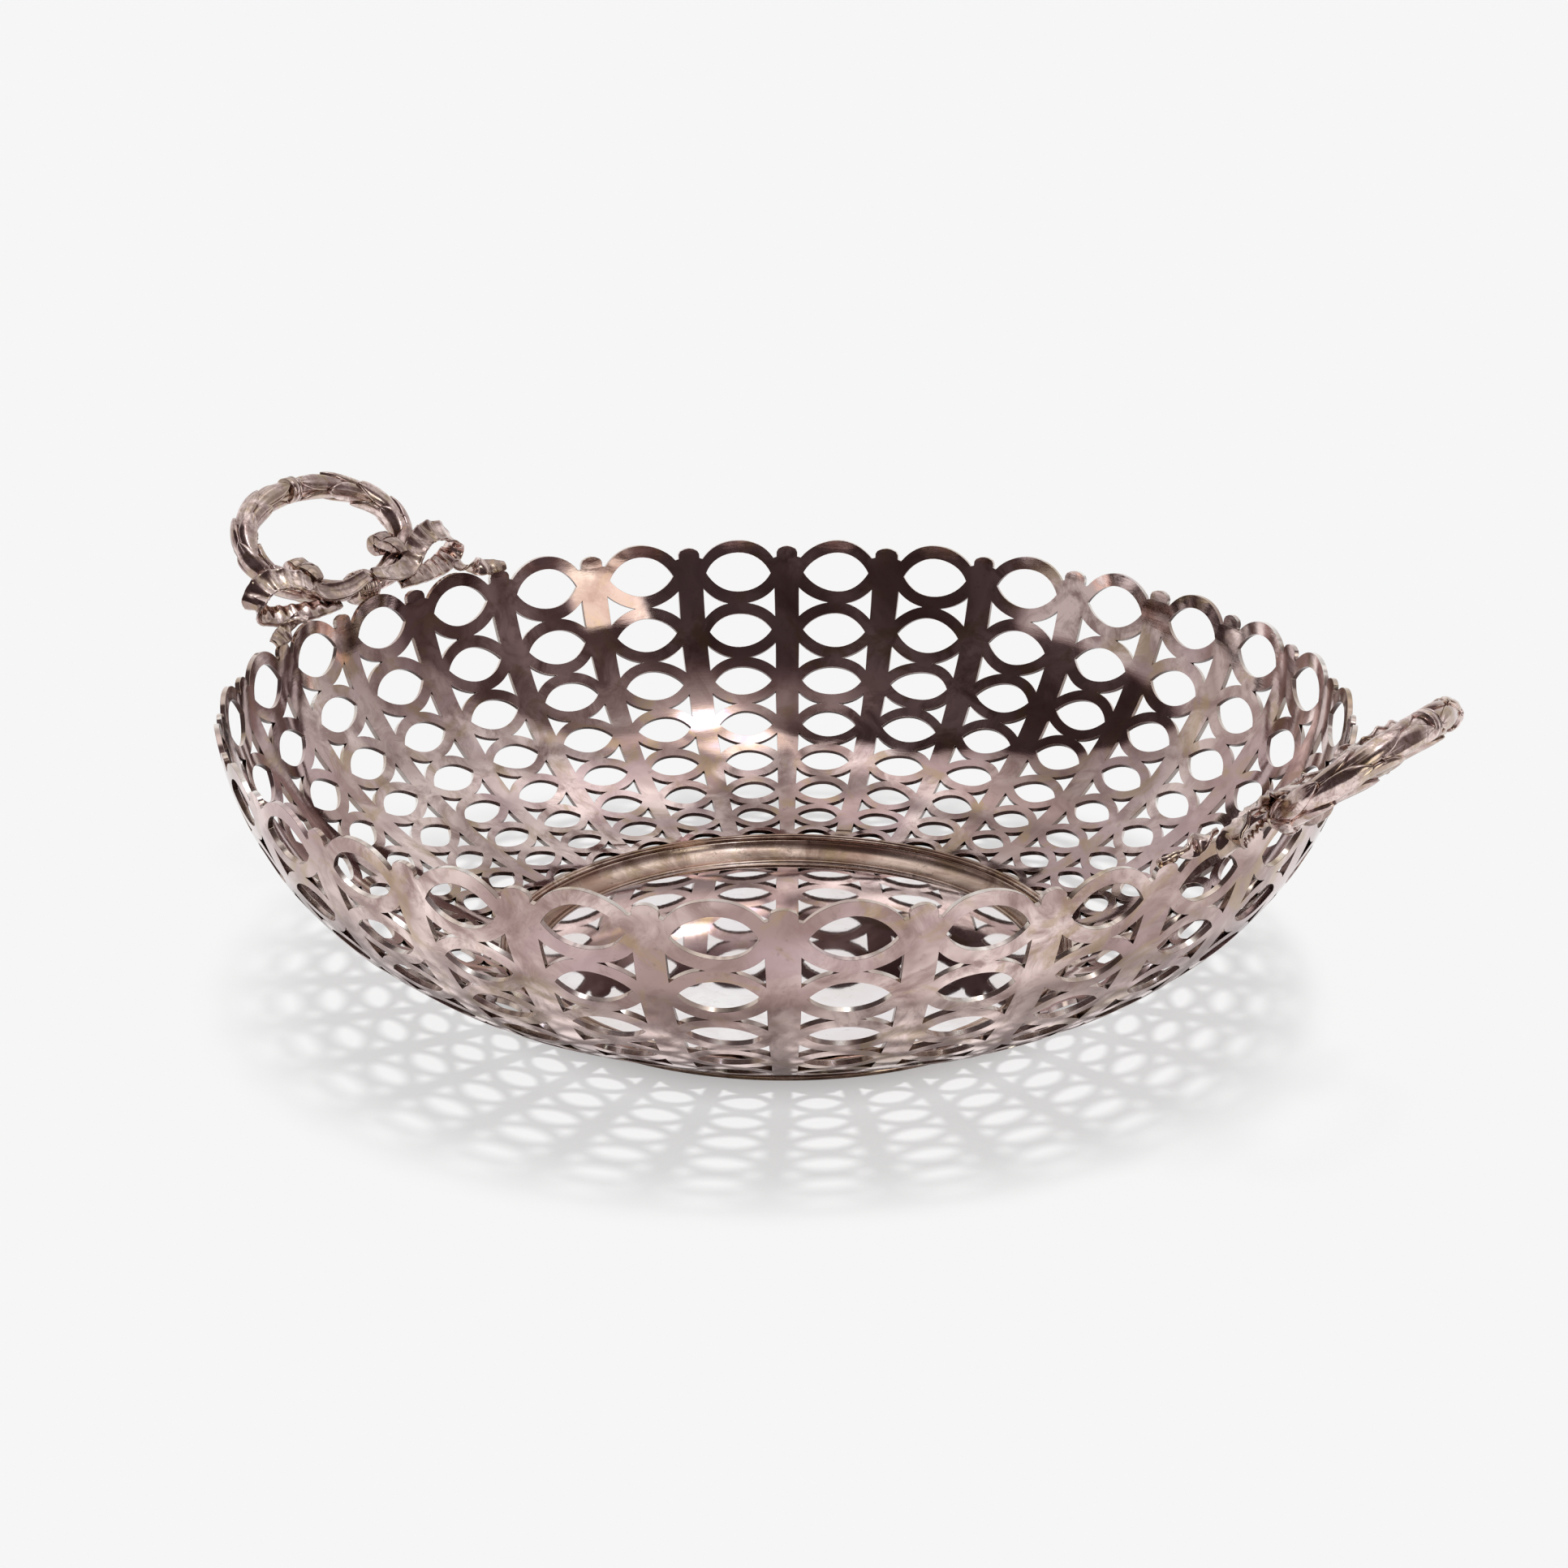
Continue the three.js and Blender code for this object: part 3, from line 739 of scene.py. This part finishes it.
def laurelBranch(side, branch):
    # Whorls of leaves lie one over the other along half of the wreath like scales, turned by half
    # a leaf from whorl to whorl, with a pair of berries on one leaf of each whorl but the first.
    start = wreath["firstLeaf"]
    end = wreathLength - wreath["bandLength"] / 2 - sheetGap
    along = np.linspace(start, end, wreath["coreRings"])
    length, angle = np.meshgrid(along, evenTurns(wreath["coreTurns"]), indexing="ij")
    parts = [tube(besideLine(length, angle, np.full(length.shape, wreath["core"]), branch))]
    apart = (end - start) / (wreath["whorls"] - 1 + wreath["overlap"])
    size = apart * wreath["overlap"]
    between = math.pi / wreath["leavesRound"]
    lift = wreath["radius"] - wreath["berrySunk"] * wreath["berry"]
    for whorl in range(wreath["whorls"]):
        root = start + whorl * apart
        for leaf in range(wreath["leavesRound"]):
            turn = between * (2 * leaf + whorl % 2 + 0.5)
            parts.append(laurelLeaf(root, size, turn, branch, 100 * whorl + leaf))
            if whorl > 0 and leaf == whorl % wreath["leavesRound"]:
                for beside in (-wreath["berryApart"], wreath["berryApart"]):
                    spot = np.array(root + wreath["berryAt"]), np.array(turn + beside)
                    berry = besideLine(*spot, np.array(lift), branch)
                    parts.append(ball(berry, wreath["berry"]))
    letter = "a" if branch > 0 else "b"
    handlePiece(side, f"branch_{letter}", f"laurel_{letter}", joined(parts), "wreath")


def drum(profile, centre, turns):
    # A profile of radius against distance along Y, turned round an axis through the centre.
    profile = np.asarray(profile, float)
    turn = evenTurns(turns)
    radius, along = profile[:, :1], profile[:, 1:]
    rings = np.stack([radius * np.cos(turn), along + 0 * turn, radius * np.sin(turn)], axis=2)
    return tube(rings + np.asarray(centre, float))


def apexBand(side):
    # A short sleeve over the far end of the wreath, with a groove beside each border.
    half, inside = wreath["bandLength"] / 2, wreath["inside"]
    radius = wreath["radius"] + wreath["bandOver"]
    left = [(radius + r, -half + y) for r, y in wreath["bandBorder"]]
    right = [(r, -y) for r, y in left[::-1]]
    profile = [(inside, -half), *left, *right, (inside, half)]
    body = drum(profile, (2 * wreath["halfLength"], 0, 0), 28)
    handlePiece(side, "clasp", "apex_band", body, "wreath")


def tie(side):
    # Folds of the ribbon lie side by side over the knot as waves, and its ends are drawn in by
    # the fourth power of the distance from its middle.
    y = np.linspace(-1, 1, 29)
    waved = 1 - np.cos(wreath["knotFolds"] * math.pi * (y + 1))
    radius = knotRadius * (1 - wreath["knotPull"] * y ** 4) - wreath["knotFold"] * waved
    folds = np.column_stack([radius, y * wreath["knotLength"] / 2])
    inside = wreath["inside"]
    body = drum([(inside, folds[0, 1]), *folds, (inside, folds[-1, 1])], (0, 0, 0), 36)
    handlePiece(side, "tie", "knot", body, "ribbon")


# Bows

bow = {
    "sheet": 0.85,
    "endWidth": 0.5,  # of its full width
    "endSwell": 0.7,  # power of the sine that widens it from there
    "fluteLength": 4.0,
    "fluteSpan": (0.2, 0.15),  # where the flutes start along it, and how soon they are full
    "fluteEnds": 0.4,  # power of the sine that ends them
    "fan": 0.3,  # how much deeper they are at one border
    "twistSpan": (0.1, 0.5),
    "bulge": 0.4,  # how much lower a ribbon's borders lie than its middle
    "across": (-1, -0.93, -0.8, -0.5, 0, 0.5, 0.8, 0.93, 1),
    "welt": (-0.12, 0.1, 0, 0, 0, 0, 0, 0.1, -0.12),
    "scallop": 0.05,
    "samples": 120,
    "loopShare": 1.24,  # far end of a loop from the tie, of the distance between bars
    "loopOut": 10.0,
    "loopRise": 10.4,
    "loopWidth": 6.2,
    "loopFlute": 0.44,
    "loopFoot": 0.9,  # from the tie's middle
    "loopRoute": (  # shares of those three, along the rim, out from it and up
        (0.27, 0.1, 0.5), (0.46, 0.3, 0.56), (0.57, 0.5, 0.84), (0.7, 0.74, 1.03),
        (0.85, 0.95, 1.04), (0.97, 1.02, 0.82), (1, 0.98, 0.5), (0.86, 0.68, 0.3),
        (0.66, 0.36, 0.26), (0.46, 0.16, 0.26), (0.32, 0.16, 0.22),
    ),
    "curlWidth": 4.8,
    "curlFlute": 0.15,
    "curlRadius": 2.15,
    "curlSheet": 2.3,
    "curlAlong": 15.3,
    "curlAway": 9.9,
    "curlLead": ((-3.1, 1.0), (-1.65, 0.95)),  # its strip up to the roll, by the tube's top
    "tubeTop": 3.4,
    "curlRoute": (
        (-0.3, 1.1), (0.6, 0.7), (0.9, -0.1), (0.4, -0.9), (-0.4, -0.9), (-0.8, -0.3),
    ),
    "tailStart": 1.02,
    "tailEnd": 1.59,
    "tailOut": 0.3,
    "tailRise": 3.6,
    "tailWidth": 4.6,
    "tailFlute": 0.3,
    "tailRoute": ((0, 1, 1), (0.4, -0.5, 0.62), (0.7, -0.3, 0.45), (1, -1, 0.3)),
}


def rimSpot(spaces, out, up):
    # A place beside the rim in the wreath's plane, by bars from the tie, out from it and above it.
    angle = 2 * math.pi * spaces / bowl["bars"]
    reach = bowl["rimRadius"] + out
    away = reach * math.cos(angle) - bowl["rimRadius"] - wreath["out"]
    rise = up - wreath["up"]
    x, z = away * tiltCos + rise * tiltSin, rise * tiltCos - away * tiltSin
    return [x, reach * math.sin(angle), z]


def smoothRoute(points):
    # A cubic curve through the points, in steps by the square root of their distances, with its
    # distance along itself and its direction.
    points, samples = np.asarray(points, float), bow["samples"]
    ends = np.vstack([2 * points[0] - points[1], points, 2 * points[-1] - points[-2]])
    knots = summed(np.sqrt(np.linalg.norm(np.diff(ends, axis=0), axis=1)))
    gap = np.diff(knots)[:, None]
    slope = np.diff(ends, axis=0) / gap
    middle = slope[:-1] - (ends[2:] - ends[:-2]) / (gap[:-1] + gap[1:]) + slope[1:]
    at = np.linspace(knots[1], knots[-2] - 1e-9, samples * 6)
    k = np.clip(np.searchsorted(knots, at, side="right") - 1, 1, len(points) - 1)
    width = (knots[k + 1] - knots[k])[:, None]
    t = (at - knots[k])[:, None] / width
    first, second = ends[k], ends[k + 1]
    m0, m1 = middle[k - 1] * width, middle[k] * width
    line = first * (2 * t ** 3 - 3 * t ** 2 + 1) + m0 * (t ** 3 - 2 * t ** 2 + t)
    line = line + second * (3 * t ** 2 - 2 * t ** 3) + m1 * (t ** 3 - t ** 2)
    run = summed(np.linalg.norm(np.diff(line, axis=0), axis=1))
    even = np.linspace(0, run[-1], samples)
    line = np.column_stack([np.interp(even, run, line[:, i]) for i in range(3)])
    ahead = np.gradient(line, axis=0)
    return line, even, ahead / np.linalg.norm(ahead, axis=1, keepdims=True)


def ribbon(route, halfWidth, flute, sheet, along, twist):
    # A fluted strip carried along a route. Its borders are thin welts, its flutes are sine waves
    # that open like a fan towards the outer border, both ends are drawn in, and it may twist.
    line, run, ahead = smoothRoute(route)
    share = run / run[-1]
    wide = np.array(along) - ahead * (ahead @ np.array(along))[:, None]
    wide /= np.linalg.norm(wide, axis=1, keepdims=True)
    face = np.cross(ahead, wide)
    angle = twist * step(share, *bow["twistSpan"])[:, None]
    c, s = np.cos(angle), np.sin(angle)
    wide, face = wide * c + face * s, face * c - wide * s
    across, welt = np.array(bow["across"]), np.array(bow["welt"])
    bell = np.sin(math.pi * share)
    reach = halfWidth * (bow["endWidth"] + (1 - bow["endWidth"]) * bell ** bow["endSwell"])
    folds = max(2, round(run[-1] / bow["fluteLength"]))
    wave = np.sin(2 * math.pi * folds * share) * bell ** bow["fluteEnds"]
    deep = flute * step(share, *bow["fluteSpan"])[:, None] * wave[:, None]
    lift = deep * (1 - bow["fan"] + bow["fan"] * across) - bow["bulge"] * across ** 2
    scallop = 1 + bow["scallop"] * np.abs(across) * np.abs(wave)[:, None]
    sides = across * reach[:, None] * scallop

    def skin(sign):
        height = lift + sign * (sheet / 2 + welt)
        return line[:, None] + sides[..., None] * wide[:, None] + height[..., None] * face[:, None]

    return tube(np.concatenate([skin(1), skin(-1)[:, ::-1]], axis=1))


def bowPieces(side):
    # Two loops, two small rolls and two tails. Each route is worked out for one half of the bow
    # and mirrored for the other.
    onKnot = knotRadius + sheetGap + bow["sheet"] / 2
    share, out, rise = bow["loopShare"], bow["loopOut"], bow["loopRise"]
    loop = [[0, bow["loopFoot"], onKnot]]
    loop += [rimSpot(a * share, b * out, c * rise) for a, b, c in bow["loopRoute"]]
    overTube = bow["tubeTop"] + 2 * sheetGap + bow["sheet"] / 2
    size, along, away = bow["curlRadius"], bow["curlAlong"], bow["curlAway"]
    curl = [[away + a * size, along, b * overTube] for a, b in bow["curlLead"]]
    curl += [[away + a * size, along, b * size] for a, b in bow["curlRoute"]]
    start, length = bow["tailStart"], bow["tailEnd"] - bow["tailStart"]
    out, rise = bow["tailOut"], bow["tailRise"]
    tail = [rimSpot(start + length * a, out * b, rise * c) for a, b, c in bow["tailRoute"]]
    for letter, way in (("a", 1), ("b", -1)):
        for name, node, kind, route, sheet, across, twist in (
            ("loop", "bow_loop", "loop", loop, bow["sheet"], (1.0, 0.0, 0.0), 0.0),
            ("scroll", "bow_curl", "curl", curl, bow["curlSheet"], (0.0, 1.0, 0.0), 0.0),
            ("tail", "ribbon_tail", "tail", tail, bow["sheet"], (1.0, 0.0, 0.0), math.pi),
        ):
            halfWidth, flute = bow[kind + "Width"] / 2, bow[kind + "Flute"]
            points, faces = ribbon(route, halfWidth, flute, sheet, across, twist)
            if way < 0:
                points, faces = points * [1, -1, 1], [face[::-1] for face in faces]
            handlePiece(side, f"{name}_{letter}", f"{node}_{letter}", (points, faces), "ribbon")


for side in (1, -1):
    laurelBranch(side, 1)
    laurelBranch(side, -1)
    apexBand(side)
    tie(side)
    bowPieces(side)
print("wreaths tied")

# Camera and studio

studio = {
    "cameraFrom": (0.4004, -0.5479, 0.2921),
    "cameraTo": (-0.0004, -0.0003, 0.0454),
    "focalPixels": 3811.5,  # in an image 1932 pixels wide
    "imageWidth": 1932,
    "sensor": 36.0,
    "floorRadius": 8.0,
    "floorTurns": 96,
    "floorTone": 0.9,
    "floorRough": 0.9,
    "glowRadii": (0.0, 0.066, 0.074, 0.09, 0.11, 0.135),  # the floor's own share of its tone
    "glowShares": (0.1, 0.36, 0.68, 0.62, 0.66, 0.97),  # grows outwards, so the shadow fades
    "mirrorRadii": (0.0, 0.085, 0.15, 0.19),  # what mirrors see of that glow grows farther out
    "mirrorShares": (0.0, 0.05, 0.62, 0.73),
    "background": 0.92,
    "skyStrength": 0.35,
    "sunStrength": 2.25,
    "sunWidth": math.radians(8.5),
    "sunLean": math.radians(5),
}
view = Vector(studio["cameraTo"]) - Vector(studio["cameraFrom"])


def camera():
    # The photograph's camera, with the focal length that its picture has in pixels.
    data = bpy.data.cameras.new("camera")
    data.sensor_width = studio["sensor"]
    data.lens = studio["focalPixels"] / studio["imageWidth"] * studio["sensor"]
    data.clip_end = 50
    made = placed("camera", data)
    made.location = studio["cameraFrom"]
    made.rotation_euler = view.to_track_quat("-Z", "Y").to_euler()
    bpy.context.scene.camera = made


def worked(tree, operation, first, second):
    # One number out of two.
    return nodeOf(tree, "Math", {0: first, 1: second}, operation=operation).outputs[0]


def eyeAndMirror(tree):
    # One for what the camera sees by itself or through glass, and one for what mirrors see.
    rays = tree.nodes.new("ShaderNodeLightPath").outputs
    eye = worked(tree, "MAXIMUM", rays["Is Camera Ray"], rays["Is Transmission Ray"])
    return eye, rays["Is Glossy Ray"]


def heldBy(mesh, name, values, tree):
    # Keeps a number at each point of a mesh and reads it in a material.
    mesh.attributes.new(name, "FLOAT", "POINT").data.foreach_set("value", values)
    return nodeOf(tree, "Attribute", {}, attribute_name=name).outputs["Fac"]


def floor():
    # A flat disc on z = 0, as rings of points round its middle. Two numbers at each point say how
    # much of the floor's even glow the eye sees there, and how much of it mirrors see.
    turns = studio["floorTurns"]
    near, far = np.linspace(0.01, 0.2, 20), np.geomspace(0.25, studio["floorRadius"], 12)
    radii = np.concatenate([near, far])
    r, a = np.meshgrid(radii, evenTurns(turns), indexing="ij")
    rings = np.stack([r * np.cos(a), r * np.sin(a), 0 * r], axis=2).reshape(-1, 3)
    points = np.vstack([[0, 0, 0], rings])
    faces = [[0, 1 + i, 1 + (i + 1) % turns] for i in range(turns)]
    faces += (gridFaces(len(radii), turns, closed=True)[:, [0, 3, 2, 1]] + 1).tolist()
    mesh = bpy.data.meshes.new("floor")
    mesh.from_pydata(points, [], faces)
    material, tree = newMaterial("paleFloor")
    shader = tree.nodes["Principled BSDF"]
    shader.inputs["Base Color"].default_value = (studio["floorTone"],) * 3 + (1,)
    shader.inputs["Roughness"].default_value = studio["floorRough"]
    shader.inputs["Specular IOR Level"].default_value = 0.0
    glow = nodeOf(tree, "Emission", {"Strength": studio["background"]}).outputs["Emission"]
    reach = np.hypot(points[:, 0], points[:, 1])
    shares = []
    for name, seen in zip(("glow", "mirror"), eyeAndMirror(tree)):
        own = np.interp(reach, studio[name + "Radii"], studio[name + "Shares"])
        shares.append(worked(tree, "MULTIPLY", seen, heldBy(mesh, name, own, tree)))
    share = worked(tree, "MAXIMUM", *shares)
    blend = nodeOf(tree, "MixShader", {0: share, 1: shader.outputs["BSDF"], 2: glow})
    link(tree, blend.outputs[0], tree.nodes["Material Output"].inputs["Surface"])
    mesh.materials.append(material)
    made = placed("floor", mesh)


def sky():
    # An even white sky: a weak one that lights the basket, and the one that eye and mirrors see.
    world = bpy.data.worlds.new("studio")
    bpy.context.scene.world = world
    world.use_nodes = True
    tree = world.node_tree
    light, shown = tree.nodes["Background"], tree.nodes.new("ShaderNodeBackground")
    for made, strength in ((light, studio["skyStrength"]), (shown, studio["background"])):
        made.inputs["Color"].default_value = (1, 1, 1, 1)
        made.inputs["Strength"].default_value = strength
    seen = worked(tree, "MAXIMUM", *eyeAndMirror(tree))
    mix = nodeOf(tree, "MixShader", {0: seen, 1: light.outputs[0], 2: shown.outputs[0]})
    link(tree, mix.outputs[0], tree.nodes["World Output"].inputs["Surface"])


def lamps():
    # One soft lamp overhead, which leans a little to the camera's left.
    data = bpy.data.lights.new("overhead", "SUN")
    data.energy = studio["sunStrength"]
    data.angle = studio["sunWidth"]
    made = placed("overhead", data)
    made.visible_glossy = False
    right = Vector((view.y, -view.x, 0)).normalized()
    lean = studio["sunLean"]
    shine = -right * math.sin(lean) - Vector((0, 0, math.cos(lean)))
    made.rotation_euler = shine.to_track_quat("-Z", "Y").to_euler()


hall = {  # tones and degrees; pairs say where a change starts and how wide it is, then how much
    "darkMiddle": -64,  # compass angle of the middle of the dark half
    "dark": 0.075,
    "darkRight": (-16, 10, 0.08),
    "darkFront": (0.03, 0.02),
    "darkEdge": 0.3,  # how far the dark half runs round its sides
    "openLeft": (-48, 3),
    "openBelow": (24, 4),
    "pale": 0.42,
    "paleFar": (110, 40, 0.18),
    "paleHigh": (35, 40, 0.3),
    "paleLeft": 0.08,
    "lowWall": (25, 15),
    "lowFar": (125, 25, 0.24),
    "lowLeft": (60, 50, 0.3),
    "panels": 0.42,
    "panelSpan": (42, 14),
    "window": 2.2,
    "windowTurn": -11,
    "windowSpan": (7, 1.5),
    "windowTop": (30, 1.5),
    "lamp": 9,
    "lampHeight": 75,
    "lampSize": (2.8, 12),
    "halo": 1.1,
    "haloSize": 20,
    "overhead": 2.6,
    "overheadTurn": 36,
    "overheadOff": 0.09,  # of the dome's radius, from its top
    "overheadSize": 5,
    "horizon": 0.9,  # the floor's far part, where it isn't dark
    "darkColour": (1.0, 0.76, 0.78),
    "colours": (  # of the pale wall, the window and the lamp, with the tones where each sets in
        (0.1, 0.6, (1.0, 1.0, 1.0)), (1.3, 1.9, (1.0, 1.02, 0.9)), (2.4, 4.0, (0.78, 0.93, 1.15)),
    ),
    "radius": 3.0,
    "turnStep": 1.5,
    "heights": (0, 89.5, 91),
    "nearRadii": (0.45, 1.2, 2.2),  # rings of the dark floor behind the camera
    "nearDark": (0.3, 0.4),  # tones up to which its points and its cells count as dark
    "raised": 0.002,  # over the pale floor
}


def roomTone(turn, height):
    # How bright the room is by compass angle and height in degrees. The camera's half is dark up
    # to the middle of the ceiling, but for a narrow window and an opening low on its left. The
    # other half is pale, brighter low down and upwards, with ceiling panels and two lamps.
    off = (turn - hall["darkMiddle"] + 180) % 360 - 180  # from the middle of the dark half
    flat = np.cos(np.radians(height))
    sine = np.sin(np.radians(off))
    facing = flat * (np.cos(np.radians(off)) + hall["darkEdge"] * np.abs(sine))

    def part(value, name):
        start, width, amount = hall[name]
        return amount * step(value, start, width)

    aside = np.abs(off)
    pale = hall["pale"] + part(aside, "paleFar") + part(height, "paleHigh")
    pale = pale + hall["paleLeft"] * (off < 0)
    low = 1 - step(height, *hall["lowWall"])
    far = step(aside, *hall["lowFar"][:2])
    pale = pale + low * (part(aside, "lowFar") + part(-off, "lowLeft") * (1 - far))
    panels = np.sin(np.radians(9 * turn) + 2 * np.sin(np.radians(4 * turn + 3 * height)))
    pale = pale * (1 + hall["panels"] * panels * step(height, *hall["panelSpan"]))
    dark = hall["dark"] + part(turn, "darkRight")
    shut = np.clip(step(off, *hall["openLeft"]) + step(height, *hall["openBelow"]), 0, 1)
    wall = pale + (dark - pale) * step(facing, *hall["darkFront"]) * shut
    window = 1 - step(np.abs(turn - hall["windowTurn"]), *hall["windowSpan"])
    window = window * (1 - step(height, *hall["windowTop"]))
    wall = wall + (hall["window"] - wall) * window
    high, wide = hall["lampSize"]
    lamp = ((height - hall["lampHeight"]) / high) ** 2 + (turn / wide) ** 2
    side = np.radians(turn - hall["overheadTurn"])
    lean = np.degrees(np.hypot(flat * np.cos(side) - hall["overheadOff"], flat * np.sin(side)))
    overhead = hall["overhead"] * np.exp(-(lean / hall["overheadSize"]) ** 4)
    wall = wall + hall["lamp"] * np.exp(-lamp)
    return wall + hall["halo"] * np.exp(-lamp / hall["haloSize"]) + overhead


def room():
    # The walls and ceiling that only mirrors see: a dome over the floor, and a dim part of the
    # floor itself behind the camera.
    turn = np.arange(-180, 180, hall["turnStep"])
    near, up = len(hall["nearRadii"]), np.linspace(*hall["heights"])
    height = np.concatenate([[0] * near, up])
    reach = np.concatenate([hall["nearRadii"], np.full(len(up), hall["radius"])])
    h, t = np.meshgrid(height, turn, indexing="ij")
    r = np.broadcast_to(reach[:, None], h.shape)
    x = r * np.cos(np.radians(h)) * np.cos(np.radians(t))
    y = r * np.cos(np.radians(h)) * np.sin(np.radians(t))
    z = r * np.sin(np.radians(h)) + hall["raised"]
    points = np.stack([x, y, z], axis=2).reshape(-1, 3)
    cells = gridFaces(len(height), len(turn), closed=True)
    tone = roomTone(t, h)
    darkPoint, darkCell = hall["nearDark"]
    tone[:near] = np.where(tone[:near] < darkPoint, tone[:near], hall["horizon"])
    rows = cells // len(turn)
    kept = (rows.min(axis=1) >= near) | (tone.reshape(-1)[cells].max(axis=1) < darkCell)
    mesh = bpy.data.meshes.new("room")
    mesh.from_pydata(points, [], cells[kept].tolist())
    material, tree = newMaterial("roomWalls")
    tree.nodes.remove(tree.nodes["Principled BSDF"])
    shade = heldBy(mesh, "shade", tone.reshape(-1), tree)
    colour = hall["darkColour"]
    for start, end, over in hall["colours"]:
        colour = mixed(tree, ranged(tree, shade, start, end, 0, 1), colour, over)
    glow = nodeOf(tree, "Emission", {"Strength": shade, "Color": colour})
    link(tree, glow.outputs["Emission"], tree.nodes["Material Output"].inputs["Surface"])
    mesh.materials.append(material)
    made = placed("room", mesh)
    made.visible_camera = False
    made.visible_diffuse = False
    made.visible_shadow = False
    made.visible_transmission = False


camera()
floor()
sky()
lamps()
room()
bpy.context.scene.view_settings.view_transform = "Standard"
print("studio set")
